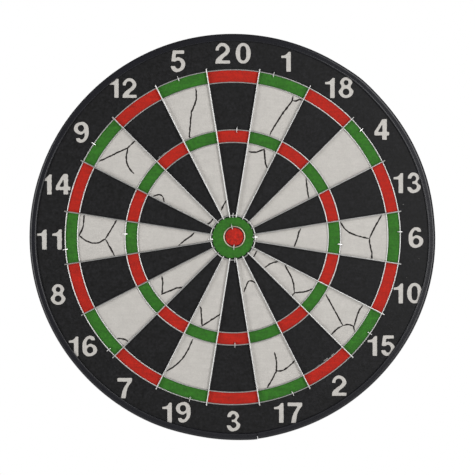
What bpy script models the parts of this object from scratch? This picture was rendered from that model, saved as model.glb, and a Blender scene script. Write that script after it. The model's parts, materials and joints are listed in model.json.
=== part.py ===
"""Wall-hung dartboard: a wound paper disc in a plastic edge strip, with a stapled spider of steel wires.

Metres, +Z up. The scoring face looks towards -Y and the wall is on the +Y side. The origin is the
centre of the backing card's rear face. Angles run clockwise from the top, as a player sees them.
"""

import math

import bmesh
import bpy
from mathutils import Matrix, Vector

MM = 0.001
FIT_GAP = 0.3 * MM  # air between two pieces that would touch
LOOSE_GAP = 0.4 * MM  # air round a disc inside its rim
OVERSHOOT = 1.0 * MM  # how far a cutter stands out of the face that it cuts
FACET_SAG = 0.1 * MM  # how far a ring wire's straight runs may fall inside its circle
HOLE_SIDES = 12

# The disc and the strip round it.
BOARD_RADIUS = 206.0 * MM
BOARD_DEPTH = 20.0 * MM
LIP_THICKNESS = 1.5 * MM
LIP_WIDTH = 6.5 * MM
STRIP_WALL = 1.6 * MM
STRIP_CORNER = 3.0 * MM
LIP_EDGE_ROUND = 0.4 * MM
LIP_INNER_RADIUS = BOARD_RADIUS - LIP_WIDTH
CORE_RADIUS = BOARD_RADIUS - STRIP_WALL - LOOSE_GAP
CORE_BACK = -(LIP_THICKNESS + FIT_GAP)
FACE = -(BOARD_DEPTH - LIP_THICKNESS - FIT_GAP)
DISC_SEGMENTS = 96

# The strip's ends meet near the bottom, and each springs a little off the disc.
SEAM_ANGLE = 173.0
SEAM_GAP = 0.5 * MM
SEAM_LIFT_LEFT = 1.2 * MM
SEAM_LIFT_RIGHT = 0.7 * MM
SEAM_LIFT_SPREAD = 5.0  # degrees from the seam at which the lift has halved

# The bull's plug sits a little off the board's axis, to the right and up.
PLUG_RADIUS = 9.8 * MM
PLUG_CENTRE = Vector((1.4 * MM, 0, 0.8 * MM))
PLUG_SEGMENTS = 32

# The spider: rings on the face, dividers on top of the rings.
RING_WIRE = 0.65 * MM
DIVIDER_WIRE = 0.75 * MM
WIRE_SIDES = 6
DIVIDER_SIDES = 8
DOUBLE_OUTER = 170.0 * MM
DOUBLE_INNER = 157.4 * MM
TREBLE_OUTER = 109.3 * MM
TREBLE_INNER = 96.7 * MM
OUTER_BULL = 22.7 * MM
BULLSEYE = 10.5 * MM
DIVIDER_OVERHANG_OUT = 3.0 * MM
DIVIDER_OVERHANG_IN = 1.9 * MM
RING_LEVEL = FACE - FIT_GAP - RING_WIRE
DIVIDER_LEVEL = RING_LEVEL - RING_WIRE - FIT_GAP - DIVIDER_WIRE
NUMBERS = (20, 1, 18, 4, 13, 6, 10, 15, 2, 17, 3, 19, 7, 16, 8, 11, 14, 9, 12, 5)
SECTOR = 360.0 / len(NUMBERS)

# Staples straddle a ring wire, with their legs in the disc.
STAPLE_WIRE = 0.5 * MM
STAPLE_HALF_SPAN = 2.1 * MM
STAPLE_CORNER = 0.8 * MM
STAPLE_LEG = 8.0 * MM
STAPLE_LEVEL = RING_LEVEL - RING_WIRE - FIT_GAP - STAPLE_WIRE
LEG_HOLE = STAPLE_WIRE + 0.35 * MM
LEG_HOLE_DEPTH = 6.2 * MM
LEG_HOLE_SIDES = 8
DOUBLE_STAPLES = (14, 50, 88, 125, 159, 195, 228, 266, 304, 341)
TREBLE_STAPLES = (2, 93.5, 179, 272)
OUTER_BULL_STAPLES = (0, 88.5, 175.5, 266.5)
BULLSEYE_STAPLES = (346, 183)

# The hanger on the back: a strap with a curl, a D-shaped ring and two screws.
HINGE_HEIGHT = 170.0 * MM
HANGER_RING_WIRE = 1.25 * MM
HANGER_RING_HALF_WIDTH = 9.5 * MM
HANGER_RING_CORNER = 2.5 * MM
HANGER_RING_DEPTH = 17.0 * MM
STRAP_THICKNESS = 0.8 * MM
STRAP_WIDTH = 12.0 * MM
STRAP_LENGTH = 29.0 * MM
STRAP_CORNER = 3.0 * MM
CURL_INNER = HANGER_RING_WIRE + 0.35 * MM
CURL_OUTER = CURL_INNER + STRAP_THICKNESS
CURL_SWEEP = 300.0
CURL_STEPS = 15
HINGE = Vector((0, FIT_GAP + CURL_OUTER, HINGE_HEIGHT))
SCREW_DROPS = {"upper": 6.4 * MM, "lower": 24.0 * MM}  # below the hinge
SCREW_HEAD = 2.8 * MM
SCREW_HEAD_HEIGHT = 1.6 * MM
SCREW_SHANK = 1.5 * MM
SCREW_LENGTH = 12.0 * MM
SCREW_POINT = 3.0 * MM
SCREW_RECESS_ARM = 1.5 * MM
SCREW_RECESS_WIDTH = 0.35 * MM
SCREW_RECESS_DEPTH = 0.8 * MM
SCREW_HOLE = SCREW_SHANK + 0.4 * MM
SCREW_HOLE_DEPTH = 12.0 * MM

SCREW_SIDES = 16
SCREW_DOME_STEPS = 4

SHARP_ANGLE = math.radians(40)
ALONG_Y = Matrix.Rotation(math.radians(90), 4, "X")  # turns the Z axis onto -Y
YZX = Matrix(((0, 0, 1, 0), (1, 0, 0, 0), (0, 1, 0, 0), (0, 0, 0, 1)))  # x, y, z become y, z, x


def clear_scene():
    for obj in list(bpy.data.objects):
        bpy.data.objects.remove(obj)


def principled(name, color, roughness, metallic=0.0):
    material = bpy.data.materials.new(name)
    material.use_nodes = True
    shader = material.node_tree.nodes["Principled BSDF"]
    shader.inputs["Base Color"].default_value = (*color, 1.0)
    shader.inputs["Roughness"].default_value = roughness
    shader.inputs["Metallic"].default_value = metallic
    return material


def place(name, data, material, location=(0, 0, 0), turn=0.0):
    """Puts a mesh or curve in the scene, turned clockwise by turn degrees as seen from the front."""
    if material.name not in data.materials:
        data.materials.append(material)
    obj = bpy.data.objects.new(name, data)
    obj.location = location
    obj.rotation_euler.y = math.radians(turn)
    bpy.context.scene.collection.objects.link(obj)
    return obj


def mesh_from(name, shape):
    """Turns a bmesh into a smooth-shaded mesh with its faces pointing out."""
    bmesh.ops.recalc_face_normals(shape, faces=shape.faces)
    mesh = bpy.data.meshes.new(name)
    shape.to_mesh(mesh)
    shape.free()
    mesh.shade_smooth()
    mesh.set_sharp_from_angle(angle=SHARP_ANGLE)
    return mesh


def add_rod(shape, start, radius, length, sides):
    """Adds a round rod that starts at a point and runs towards +Y."""
    place = Matrix.Translation(Vector(start) + Vector((0, length / 2, 0))) @ ALONG_Y
    sizes = {"segments": sides, "radius1": radius, "radius2": radius, "depth": length}
    bmesh.ops.create_cone(shape, cap_ends=True, matrix=place, **sizes)


def rod_mesh(name, start, radius, length, sides):
    shape = bmesh.new()
    add_rod(shape, start, radius, length, sides)
    return mesh_from(name, shape)


def on_board(radius, angle, level):
    """A point at a radius and a clockwise angle on the plane y = level."""
    a = math.radians(angle)
    return Vector((radius * math.sin(a), level, radius * math.cos(a)))


def loft_round(name, outline, angles, closed, lift=lambda angle: 0.0):
    """Carries a closed (radius, y) outline round the board's axis, stopping at each angle."""
    shape = bmesh.new()
    rings = []
    for angle in angles:
        points = [on_board(radius + lift(angle), angle, y) for radius, y in outline]
        rings.append([shape.verts.new(point) for point in points])
    pairs = list(zip(rings, rings[1:]))
    if closed:
        pairs.append((rings[-1], rings[0]))
    else:
        shape.faces.new(rings[0])
        shape.faces.new(reversed(rings[-1]))
    for ring, following in pairs:
        for i in range(len(outline)):
            shape.faces.new((ring[i - 1], ring[i], following[i], following[i - 1]))
    return mesh_from(name, shape)


def arc(centre, radius, start, sweep, steps):
    """Points (u, v) on an arc, from start through sweep degrees, both ends included."""
    turns = (math.radians(start + sweep * i / steps) for i in range(steps + 1))
    return [(centre[0] + radius * math.cos(t), centre[1] + radius * math.sin(t)) for t in turns]


def prism(name, outline, matrix, depth):
    """A flat (x, y) outline raised along Z by depth, then moved by a matrix."""
    shape = bmesh.new()
    base = shape.faces.new([shape.verts.new((x, y, 0)) for x, y in outline])
    raised = bmesh.ops.extrude_face_region(shape, geom=[base])["geom"]
    corners = [item for item in raised if isinstance(item, bmesh.types.BMVert)]
    bmesh.ops.translate(shape, verts=corners, vec=(0, 0, depth))
    bmesh.ops.transform(shape, verts=shape.verts, matrix=matrix)
    return mesh_from(name, shape)


def tube(name, points, radius, closed):
    """A round wire along straight runs between points."""
    curve = bpy.data.curves.new(name, "CURVE")
    curve.dimensions = "3D"
    curve.bevel_depth = radius
    curve.bevel_resolution = 1
    curve.use_fill_caps = True
    spline = curve.splines.new("POLY")
    spline.points.add(len(points) - 1)
    spline.use_cyclic_u = closed
    for target, point in zip(spline.points, points):
        target.co = (*point, 1.0)
    return curve


def cut(obj, name, mesh, material):
    """Cuts a mesh out of an object with a Boolean."""
    cutter = place(name, mesh, material)
    cutter.hide_render = True
    cutter.display_type = "WIRE"
    boolean = obj.modifiers.new(name, "BOOLEAN")
    boolean.operation = "DIFFERENCE"
    boolean.solver = "EXACT"
    boolean.object = cutter


def staple_spots():
    """(name, centre of the ring, ring radius, angle) of each staple."""
    groups = (
        ("double_staple", Vector(), DOUBLE_OUTER, DOUBLE_STAPLES),
        ("treble_staple", Vector(), TREBLE_OUTER, TREBLE_STAPLES),
        ("outer_bull_staple", Vector(), OUTER_BULL, OUTER_BULL_STAPLES),
        ("bullseye_staple", PLUG_CENTRE, BULLSEYE, BULLSEYE_STAPLES),
    )
    for kind, centre, radius, angles in groups:
        for count, angle in enumerate(angles, 1):
            yield f"{kind}_{count:02d}", centre, radius, angle


def screw_spots():
    return {where: HINGE_HEIGHT - drop for where, drop in SCREW_DROPS.items()}


def add_leg_holes(shape, in_plug):
    """Adds a hole for each staple leg that stands in the bull's plug, or for each that doesn't."""
    for _, centre, radius, angle in staple_spots():
        for side in (-STAPLE_HALF_SPAN, STAPLE_HALF_SPAN):
            start = centre + on_board(radius + side, angle, FACE - OVERSHOOT)
            if ((start - PLUG_CENTRE).xz.length < PLUG_RADIUS) == in_plug:
                add_rod(shape, start, LEG_HOLE, LEG_HOLE_DEPTH + OVERSHOOT, LEG_HOLE_SIDES)


def core_cutters():
    """The plug's bore, a hole for each staple leg, and the two screw holes, as one mesh."""
    shape = bmesh.new()
    bore_start = PLUG_CENTRE + Vector((0, FACE - OVERSHOOT, 0))
    add_rod(shape, bore_start, PLUG_RADIUS + FIT_GAP, BOARD_DEPTH, PLUG_SEGMENTS)
    add_leg_holes(shape, in_plug=False)
    for height in screw_spots().values():
        start = (0, -SCREW_HOLE_DEPTH, height)
        add_rod(shape, start, SCREW_HOLE, SCREW_HOLE_DEPTH + OVERSHOOT, HOLE_SIDES)
    return mesh_from("core_cutters", shape)


def build_core(paper):
    disc = rod_mesh("wound_paper_core", (0, FACE, 0), CORE_RADIUS, CORE_BACK - FACE, DISC_SEGMENTS)
    cut(place("wound_paper_core", disc, paper), "core_cutters", core_cutters(), paper)


def build_plug(fibre):
    start = PLUG_CENTRE + Vector((0, FACE, 0))
    plug = rod_mesh("bullseye_plug", start, PLUG_RADIUS, CORE_BACK - FACE, PLUG_SEGMENTS)
    plug_object = place("bullseye_plug", plug, fibre)
    shape = bmesh.new()
    add_leg_holes(shape, in_plug=True)
    cut(plug_object, "plug_cutters", mesh_from("plug_cutters", shape), fibre)


def build_backing(card):
    radius = LIP_INNER_RADIUS - LOOSE_GAP
    disc = rod_mesh("backing_card", (0, -LIP_THICKNESS, 0), radius, LIP_THICKNESS, DISC_SEGMENTS)
    backing = place("backing_card", disc, card)
    shape = bmesh.new()
    for height in screw_spots().values():
        start = (0, -LIP_THICKNESS - OVERSHOOT, height)
        add_rod(shape, start, SCREW_HOLE, LIP_THICKNESS + 2 * OVERSHOOT, HOLE_SIDES)
    cut(backing, "backing_cutters", mesh_from("backing_cutters", shape), card)


def strip_outline():
    """The U section, as (radius, y): front lip, rounded outer wall, back lip."""
    outer = BOARD_RADIUS - STRIP_CORNER
    front_corner = arc((outer, STRIP_CORNER - BOARD_DEPTH), STRIP_CORNER, -90, 90, 3)
    back_corner = arc((outer, -STRIP_CORNER), STRIP_CORNER, 0, 90, 3)
    inside = BOARD_RADIUS - STRIP_WALL
    return [
        (LIP_INNER_RADIUS, LIP_THICKNESS - BOARD_DEPTH),
        (LIP_INNER_RADIUS, LIP_EDGE_ROUND - BOARD_DEPTH),
        (LIP_INNER_RADIUS + LIP_EDGE_ROUND, -BOARD_DEPTH),
        *front_corner,
        *back_corner,
        (LIP_INNER_RADIUS + LIP_EDGE_ROUND, 0),
        (LIP_INNER_RADIUS, -LIP_EDGE_ROUND),
        (LIP_INNER_RADIUS, -LIP_THICKNESS),
        (inside, -LIP_THICKNESS),
        (inside, LIP_THICKNESS - BOARD_DEPTH),
    ]


def seam_lift(angle):
    """How far the strip stands off the disc at an angle from just past the seam to just before it."""
    past_seam = angle - SEAM_ANGLE
    before_seam = SEAM_ANGLE + 360 - angle
    left = SEAM_LIFT_LEFT / (1 + (past_seam / SEAM_LIFT_SPREAD) ** 2)
    right = SEAM_LIFT_RIGHT / (1 + (before_seam / SEAM_LIFT_SPREAD) ** 2)
    return left if past_seam < before_seam else right


def build_edge_strip(plastic):
    half_gap = math.degrees(SEAM_GAP / 2 / BOARD_RADIUS)
    start = SEAM_ANGLE + half_gap
    sweep = 360 - 2 * half_gap
    angles = [start + sweep * i / DISC_SEGMENTS for i in range(DISC_SEGMENTS + 1)]
    strip = loft_round("edge_strip", strip_outline(), angles, closed=False, lift=seam_lift)
    place("edge_strip", strip, plastic)


def build_ring_wire(name, radius, steel, centre=(0, 0, 0)):
    segments = math.ceil(math.pi / math.acos(1 - FACET_SAG / radius))
    section = arc((radius, RING_LEVEL), RING_WIRE, 0, 360, WIRE_SIDES)[:-1]
    angles = [360 * i / segments for i in range(segments)]
    place(name, loft_round(name, section, angles, closed=True), steel, centre)


def build_rings(steel):
    build_ring_wire("double_outer_wire", DOUBLE_OUTER, steel)
    build_ring_wire("double_inner_wire", DOUBLE_INNER, steel)
    build_ring_wire("treble_outer_wire", TREBLE_OUTER, steel)
    build_ring_wire("treble_inner_wire", TREBLE_INNER, steel)
    build_ring_wire("outer_bull_wire", OUTER_BULL, steel)
    build_ring_wire("bullseye_wire", BULLSEYE, steel, PLUG_CENTRE)


def build_dividers(steel):
    """One straight wire on each line between two numbers."""
    inner = OUTER_BULL - DIVIDER_OVERHANG_IN
    outer = DOUBLE_OUTER + DIVIDER_OVERHANG_OUT
    section = arc((0, 0), DIVIDER_WIRE, 0, 360, DIVIDER_SIDES)[:-1]
    start = Matrix.Translation((0, DIVIDER_LEVEL, inner))
    wire = prism("divider_wire", section, start, outer - inner)
    for i, number in enumerate(NUMBERS):
        following = NUMBERS[(i + 1) % len(NUMBERS)]
        place(f"divider_wire_{number}_{following}", wire, steel, turn=(i + 0.5) * SECTOR)


def build_staples(steel):
    corner = (STAPLE_HALF_SPAN - STAPLE_CORNER, STAPLE_CORNER)
    half = [(STAPLE_LEG, STAPLE_HALF_SPAN)]
    half += [(y, z) for z, y in arc(corner, STAPLE_CORNER, 0, -90, 2)]
    path = [(0, y, -z) for y, z in half] + [(0, y, z) for y, z in reversed(half)]
    staple = tube("staple", path, STAPLE_WIRE, closed=False)
    for name, centre, radius, angle in staple_spots():
        place(name, staple, steel, centre + on_board(radius, angle, STAPLE_LEVEL), turn=angle)


def strap_outline():
    """Side view of the strap, as (y, z) from the hinge: a flat tail and a curl round the ring."""
    tail = [(-CURL_OUTER, -STRAP_LENGTH), (-CURL_INNER, -STRAP_LENGTH)]
    inner = arc((0, 0), CURL_INNER, 180, -CURL_SWEEP, CURL_STEPS)
    outer = arc((0, 0), CURL_OUTER, 180, -CURL_SWEEP, CURL_STEPS)
    return tail + inner + outer[::-1]


def round_strap_tail(mesh):
    """Rounds the tail's two corners."""
    shape = bmesh.new()
    shape.from_mesh(mesh)
    tail = HINGE_HEIGHT - STRAP_LENGTH
    corners = []
    for edge in shape.edges:
        a, b = (vertex.co for vertex in edge.verts)
        if max(a.z, b.z) < tail + FIT_GAP and abs(a.x - b.x) < FIT_GAP:
            corners.append(edge)
    bmesh.ops.bevel(shape, geom=corners, offset=STRAP_CORNER, segments=4, profile=0.5, affect="EDGES")
    shape.to_mesh(mesh)
    shape.free()


def build_strap(steel):
    """The outline's y and z become the board's, and its depth runs along X."""
    onto_board = Matrix.Translation((-STRAP_WIDTH / 2, HINGE.y, HINGE.z)) @ YZX
    mesh = prism("hanger_strap", strap_outline(), onto_board, STRAP_WIDTH)
    round_strap_tail(mesh)
    strap = place("hanger_strap", mesh, steel)
    shape = bmesh.new()
    for height in screw_spots().values():
        add_rod(shape, (0, -OVERSHOOT, height), SCREW_HOLE, STRAP_THICKNESS + 2 * OVERSHOOT, HOLE_SIDES)
    cut(strap, "strap_cutters", mesh_from("strap_cutters", shape), steel)


def build_hanger_ring(steel):
    """A closed D whose straight bar lies on the hinge, hanging down; its origin is on the hinge."""
    bar = HANGER_RING_HALF_WIDTH - HANGER_RING_CORNER
    bow_drop = HANGER_RING_DEPTH - HANGER_RING_HALF_WIDTH
    right_corner = arc((bar, -HANGER_RING_CORNER), HANGER_RING_CORNER, 90, -90, 4)
    bow = arc((0, -bow_drop), HANGER_RING_HALF_WIDTH, 0, -180, 14)
    left_corner = arc((-bar, -HANGER_RING_CORNER), HANGER_RING_CORNER, 180, -90, 4)
    path = [(x, 0, z) for x, z in right_corner + bow + left_corner]
    place("hanger_ring", tube("hanger_ring", path, HANGER_RING_WIRE, closed=True), steel, HINGE)


def screw_mesh():
    """A pan-head screw along Y: head outwards, point into the board, underside of the head at y = 0."""
    dome = arc((SCREW_HEAD - SCREW_HEAD_HEIGHT, 0), SCREW_HEAD_HEIGHT, 90, -90, SCREW_DOME_STEPS)
    outline = [
        (0, SCREW_HEAD_HEIGHT),
        *dome,
        (SCREW_SHANK, 0),
        (SCREW_SHANK, SCREW_POINT - SCREW_LENGTH),
        (0, -SCREW_LENGTH),
    ]
    shape = bmesh.new()
    points = [shape.verts.new((radius, y, 0)) for radius, y in outline]
    edges = [shape.edges.new(pair) for pair in zip(points, points[1:])]
    turn = {"axis": (0, 1, 0), "cent": (0, 0, 0), "angle": math.tau, "steps": SCREW_SIDES}
    bmesh.ops.spin(shape, geom=points + edges, **turn)
    bmesh.ops.remove_doubles(shape, verts=shape.verts, dist=0.01 * MM)
    return mesh_from("hanger_screw", shape)


def cross_recess(name, centre):
    """A cross-shaped prism that sinks into a screw's head."""
    arm, half = SCREW_RECESS_ARM, SCREW_RECESS_WIDTH
    quarter = [(arm, half), (half, half), (half, arm)]
    outline = []
    for turn in range(4):
        around = Matrix.Rotation(turn * math.pi / 2, 2)
        outline += [tuple(around @ Vector(corner)) for corner in quarter]
    bottom = Matrix.Translation(centre + Vector((0, SCREW_HEAD_HEIGHT - SCREW_RECESS_DEPTH, 0)))
    return prism(name, outline, bottom @ ALONG_Y.inverted(), SCREW_RECESS_DEPTH + OVERSHOOT)


def build_screws(steel):
    seat = 2 * FIT_GAP + STRAP_THICKNESS
    screw = screw_mesh()
    for where, height in screw_spots().items():
        centre = Vector((0, seat, height))
        name = f"hanger_screw_{where}"
        obj = place(name, screw, steel, centre)
        cut(obj, f"{name}_recess", cross_recess(f"{name}_recess", centre), steel)


def build():
    clear_scene()
    paper = principled("printed_paper", (0.022, 0.022, 0.024), 0.85)
    fibre = principled("bull_red_fibre", (0.43, 0.025, 0.017), 0.85)
    card = principled("grey_card", (0.25, 0.22, 0.17), 0.9)
    plastic = principled("navy_black_plastic", (0.016, 0.016, 0.022), 0.4)
    wire_steel = principled("spider_steel", (0.62, 0.62, 0.6), 0.3, 1.0)
    staple_steel = principled("staple_steel", (0.66, 0.66, 0.64), 0.28, 1.0)
    zinc = principled("zinc_plated_steel", (0.6, 0.6, 0.58), 0.35, 1.0)
    build_core(paper)
    build_plug(fibre)
    build_backing(card)
    build_edge_strip(plastic)
    build_rings(wire_steel)
    build_dividers(wire_steel)
    build_staples(staple_steel)
    build_strap(zinc)
    build_hanger_ring(zinc)
    build_screws(zinc)


build()
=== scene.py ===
"""Looks of the wall-hung dartboard: print, wire spider, staples, edge strip, back and hanger.

Metres, +Z up, scoring face towards -Y. Angles run clockwise from the top, as a player sees them.
"""

import json
import math

import bmesh
import bpy
from mathutils import Matrix, Vector, geometry, noise


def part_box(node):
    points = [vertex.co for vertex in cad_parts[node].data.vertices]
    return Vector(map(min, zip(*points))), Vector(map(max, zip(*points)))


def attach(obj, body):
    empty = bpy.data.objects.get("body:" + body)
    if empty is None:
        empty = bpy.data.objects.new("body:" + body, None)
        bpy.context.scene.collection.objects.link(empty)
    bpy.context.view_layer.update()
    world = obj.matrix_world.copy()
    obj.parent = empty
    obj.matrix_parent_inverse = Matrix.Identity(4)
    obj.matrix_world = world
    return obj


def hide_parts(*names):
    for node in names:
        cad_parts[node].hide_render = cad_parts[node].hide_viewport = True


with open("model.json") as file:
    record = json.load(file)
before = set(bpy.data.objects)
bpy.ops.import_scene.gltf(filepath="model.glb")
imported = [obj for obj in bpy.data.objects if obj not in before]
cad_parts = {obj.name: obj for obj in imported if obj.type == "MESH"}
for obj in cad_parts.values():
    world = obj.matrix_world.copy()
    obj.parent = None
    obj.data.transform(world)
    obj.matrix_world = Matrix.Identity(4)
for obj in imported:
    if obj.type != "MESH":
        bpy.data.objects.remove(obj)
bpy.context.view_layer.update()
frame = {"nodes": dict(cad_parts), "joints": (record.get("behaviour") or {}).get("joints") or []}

MM = 0.001
SMOOTH_ANGLE = math.radians(40)
NOISE_SEED = 7  # any but 0, which takes the clock
noise.seed_set(NOISE_SEED)

# Planes of the face: the core's own, the back of every printed layer, and each print's front.
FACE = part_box("wound_paper_core")[0].y
LAYER_BACK = FACE - 0.01 * MM
BLACK_TOP = FACE - 0.08 * MM
IVORY_TOP = FACE - 0.16 * MM
GREEN_TOP = FACE - 0.18 * MM
RED_TOP = FACE - 0.20 * MM
CRACK_TOP = FACE - 0.18 * MM
FLECK_TOP = FACE - 0.14 * MM

# The spider: the radii of its wires, as in the CAD, and its rings.
RING_WIRE = 0.65 * MM
DIVIDER_WIRE = 0.75 * MM
STAPLE_WIRE = 0.5 * MM
RING_NODES = (
    "double_outer_wire",
    "double_inner_wire",
    "treble_outer_wire",
    "treble_inner_wire",
    "outer_bull_wire",
    "bullseye_wire",
)
NUMBERS = (20, 1, 18, 4, 13, 6, 10, 15, 2, 17, 3, 19, 7, 16, 8, 11, 14, 9, 12, 5)
SECTOR = 360.0 / len(NUMBERS)


# ---------------------------------------------------------------- geometry helpers


DEPTH_AXIS = Vector((0, 1, 0))
WIRE_END_SIZE = 0.7  # of a wire's thickness, at its chamfered ends
RAGGED_WAVES = 350  # noise features per metre of a printed edge
RAGGED_GRAIN = 1300
HANDLE_REACH = 0.39  # of a span's length, from each of its knots to the curve's handle
S = True  # marks an outline's or a line's smooth points; the others are corners


def on_board(radius, angle, level):
    """A point at a radius and a clockwise angle on the plane y = level."""
    a = math.radians(angle)
    return Vector((radius * math.sin(a), level, radius * math.cos(a)))


def ring_size(node):
    """(centre, radius) of a packed ring wire's centre line. Its top point is exact."""
    low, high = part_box(node)
    middle = (low + high) / 2
    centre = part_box("bullseye_plug") if node == "bullseye_wire" else None
    centre = (centre[0] + centre[1]) / 2 if centre else Vector()
    centre.y = middle.y
    return centre, high.z - RING_WIRE - centre.z


RINGS = {node: ring_size(node) for node in RING_NODES}
RADIUS = {node: radius for node, (_, radius) in RINGS.items()}
BULL_CENTRE = RINGS["bullseye_wire"][0]


def mesh_from(name, shape):
    """Turns a bmesh into a smooth-shaded mesh with its faces pointing out."""
    bmesh.ops.recalc_face_normals(shape, faces=shape.faces)
    mesh = bpy.data.meshes.new(name)
    shape.to_mesh(mesh)
    shape.free()
    mesh.shade_smooth()
    mesh.set_sharp_from_angle(angle=SMOOTH_ANGLE)
    return mesh


def piece(name, mesh, material, stands_for=(), body="board", matrix=None):
    """Puts a mesh in the scene as a piece that rides on a body."""
    mesh.materials.append(material)
    obj = bpy.data.objects.new(name, mesh)
    bpy.context.scene.collection.objects.link(obj)
    if matrix:
        obj.matrix_world = matrix
    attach(obj, body)
    if stands_for:
        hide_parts(*stands_for)
    return obj


def arc(centre, radius, start, sweep, steps):
    """Points (u, v) on an arc, from start through sweep degrees, both ends included."""
    turns = (math.radians(start + sweep * i / steps) for i in range(steps + 1))
    return [(centre[0] + radius * math.cos(t), centre[1] + radius * math.sin(t)) for t in turns]


def skin(shape, rings, closed=False):
    """Joins each ring of points to the next one, and the last to the first if closed."""
    for ring, following in zip(rings, rings[1:] + rings[:1] if closed else rings[1:]):
        for i in range(len(ring)):
            shape.faces.new((ring[i - 1], ring[i], following[i], following[i - 1]))


def close_ends(shape, rings):
    """Puts a face across the first and the last ring of points."""
    shape.faces.new(rings[0])
    shape.faces.new(reversed(rings[-1]))


def loft_round(name, outline, angles, place):
    """Carries a closed (radius, y) outline round the board's axis, with both ends closed.

    place(radius, y, angle) gives each point.
    """
    shape = bmesh.new()
    rings = [[shape.verts.new(place(radius, y, angle)) for radius, y in outline] for angle in angles]
    close_ends(shape, rings)
    skin(shape, rings)
    return mesh_from(name, shape)


def round_wire(radius, sides=12):
    """A wire's section, as (across, up) points."""
    turns = (math.tau * k / sides for k in range(sides))
    return [(radius * math.cos(t), radius * math.sin(t)) for t in turns]


def tube(name, path, section, normal=DEPTH_AXIS, closed=False):
    """A wire along points near one plane with this normal. An open wire has chamfered ends."""
    shape = bmesh.new()
    last = len(path) - 1
    rings = []
    for i, point in enumerate(path):
        before = path[i - 1] if closed or i > 0 else point
        after = path[(i + 1) % len(path)] if closed or i < last else point
        side = (after - before).cross(normal).normalized()
        size = 1 if closed or 0 < i < last else WIRE_END_SIZE
        ring = [point + (side * across + normal * rise) * size for across, rise in section]
        rings.append([shape.verts.new(spot) for spot in ring])
    if not closed:
        close_ends(shape, rings)
    skin(shape, rings, closed)
    return mesh_from(name, shape)


def add_slab(shape, loops, front):
    """Adds a printed layer: an (x, z) outline with any holes, from LAYER_BACK out to y = front."""
    edges = []
    for loop in loops:
        points = [shape.verts.new((x, LAYER_BACK, z)) for x, z in loop]
        edges += [shape.edges.new((points[i - 1], points[i])) for i in range(len(points))]
    made = bmesh.ops.triangle_fill(shape, use_beauty=True, edges=edges)["geom"]
    faces = [item for item in made if isinstance(item, bmesh.types.BMFace)]
    raised = bmesh.ops.extrude_face_region(shape, geom=faces)["geom"]
    corners = [item for item in raised if isinstance(item, bmesh.types.BMVert)]
    bmesh.ops.translate(shape, verts=corners, vec=(0, front - LAYER_BACK, 0))


def rough(points, size, seed):
    """Moves each (x, z) point a little, so that a printed edge is slightly ragged."""
    moved = []
    for x, z in points:
        coarse = noise.noise_vector(Vector((x * RAGGED_WAVES, z * RAGGED_WAVES, seed)))
        fine = noise.noise_vector(Vector((x * RAGGED_GRAIN, z * RAGGED_GRAIN, seed + 7)))
        moved.append((x + size * (coarse.x + fine.x), z + size * (coarse.y + fine.y)))
    return moved


def divided(points, step, closed=True):
    """The same outline with a point at least every step."""
    found = []
    following = points[1:] + points[:1] if closed else points[1:]
    for (x, z), (x2, z2) in zip(points, following):
        pieces = max(1, round(math.hypot(x2 - x, z2 - z) / step))
        found += [(x + (x2 - x) * i / pieces, z + (z2 - z) * i / pieces) for i in range(pieces)]
    return found if closed else found + [points[-1]]


def smooth_line(points, smooth, closed, step):
    """Samples a line through points, rounded at the ones marked smooth and sharp at the others."""
    count = len(points)
    knots = [Vector((x, z, 0)) for x, z in points]
    found = []
    for i in range(count if closed else count - 1):
        j = (i + 1) % count
        length = (knots[j] - knots[i]).length
        leave = heading(knots, i, closed) if smooth[i] else (knots[j] - knots[i]).normalized()
        arrive = heading(knots, j, closed) if smooth[j] else (knots[j] - knots[i]).normalized()
        steps = max(2, round(length / step) + 1)
        reach = length * HANDLE_REACH
        bend = (knots[i], knots[i] + leave * reach, knots[j] - arrive * reach, knots[j])
        found += [(p.x, p.y) for p in geometry.interpolate_bezier(*bend, steps)[:-1]]
    return found if closed else found + [points[-1]]


def heading(knots, i, closed):
    """The direction of a smooth line where it passes a knot."""
    count = len(knots)
    before = knots[i - 1] if closed or i > 0 else knots[i]
    after = knots[(i + 1) % count] if closed or i < count - 1 else knots[i]
    return ((knots[i] - before).normalized() + (after - knots[i]).normalized()).normalized()


# ---------------------------------------------------------------- materials


NOISE_SPAN = (0.25, 0.75)  # the part of its range that a noise field mostly keeps to


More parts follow.
